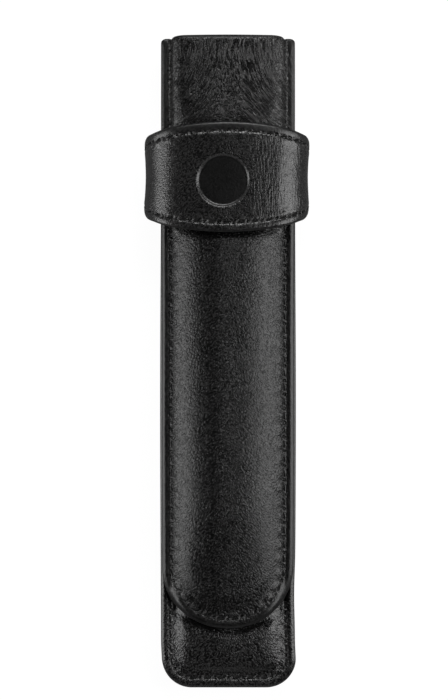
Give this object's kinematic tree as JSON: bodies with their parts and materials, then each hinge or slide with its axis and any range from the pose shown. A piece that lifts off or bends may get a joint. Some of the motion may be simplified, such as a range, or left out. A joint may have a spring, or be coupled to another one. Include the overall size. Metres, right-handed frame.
{
  "type": "fountain pen case",
  "caption": "Slim soft leather pouch for a fountain pen, closed by a long flap that turns over the top end and is tucked under a barrel-shaped loop across the front.",
  "frame": {"origin": "centre of the bounding box in plan, on the plane the case's flat back rests on", "axes": "+X to the right seen from the front, +Y along the length towards the fold over the mouth, +Z out of the front"},
  "size_m": [0.0408, 0.16, 0.0196],
  "materials": {
    "leather": "satin",
    "lining": "matte suede",
    "padding": "felt",
    "thread": "twisted thread"
  },
  "bodies": {
    "pouch": {"back_leather": "leather", "back_lining": "lining", "front_leather": "leather", "front_lining": "lining", "fold_leather": "leather", "fold_lining": "lining", "loop_leather": "leather", "loop_lining": "lining", "pouch_seam_thread": "thread", "mouth_hem_thread": "thread", "loop_upper_thread": "thread", "loop_lower_thread": "thread"},
    "tongue": {"tongue_leather": "leather", "tongue_padding": "padding", "tongue_lining": "lining", "tongue_seam_thread": "thread"}
  },
  "joints": [
    {"name": "tongue_pull", "type": "slide", "parent": "pouch", "child": "tongue", "axis": [0, 1, 0], "range_m": [0, 0.15], "deforming": ["fold_leather", "fold_lining"]}
  ]
}
